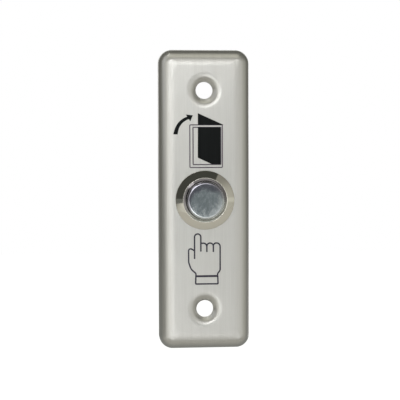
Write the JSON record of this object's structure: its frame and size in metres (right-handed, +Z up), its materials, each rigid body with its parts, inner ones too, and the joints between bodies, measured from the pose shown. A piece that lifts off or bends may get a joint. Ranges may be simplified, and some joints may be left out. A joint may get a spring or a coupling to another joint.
{
  "type": "door exit button",
  "caption": "Slim brushed steel wall plate with a round metal push button that springs back, and dimpled screw holes.",
  "frame": {"origin": "middle of the plate, on the wall plane that its rim stands on", "axes": "+X to the right across the plate, +Z up along it, and the face looks along -Y, so +Y goes into the wall"},
  "size_m": [0.028, 0.025, 0.092],
  "materials": {
    "brushed_plate": "stainless steel, brushed along the plate's length",
    "plated_bezel": "polished nickel plate",
    "polished_cap": "polished stainless steel, faintly mottled",
    "plated_nut": "nickel-plated brass",
    "black_rubber": "matt black rubber",
    "black_moulding": "moulded black phenolic",
    "white_moulding": "moulded white nylon",
    "spring_wire": "bright spring steel",
    "brass_strip": "bare rolled brass",
    "zinc_plate": "zinc-plated steel",
    "silver_contact": "fine silver"
  },
  "bodies": {
    "housing": {"face_plate": "brushed_plate", "switch_body": "plated_bezel", "panel_gasket": "black_rubber", "mounting_nut": "plated_nut", "contact_base": "black_moulding", "return_spring": "spring_wire", "left_terminal": "brass_strip", "right_terminal": "brass_strip", "left_wire_clamp": "zinc_plate", "right_wire_clamp": "zinc_plate", "left_terminal_screw": "zinc_plate", "right_terminal_screw": "zinc_plate", "left_fixed_contact": "silver_contact", "right_fixed_contact": "silver_contact"},
    "button": {"button_cap": "polished_cap", "cap_seal": "black_rubber", "retaining_clip": "spring_wire", "plunger": "white_moulding", "contact_spring": "spring_wire"},
    "bridge": {"contact_bridge": "brass_strip", "left_moving_contact": "silver_contact", "right_moving_contact": "silver_contact"}
  },
  "joints": [
    {"name": "button_press", "type": "slide", "parent": "housing", "child": "button", "axis": [0, 1, 0], "range_m": [0, 0.0022], "stiffness_N_per_m": 900, "springref_m": -0.002, "deforming": ["return_spring"]},
    {"name": "bridge_lag", "type": "slide", "parent": "button", "child": "bridge", "axis": [0, -1, 0], "range_m": [0, 0.001], "deforming": ["contact_spring"]}
  ],
  "couplings": [
    {"joint": "bridge_lag", "follows": "button_press", "ratio": 0.45454}
  ]
}
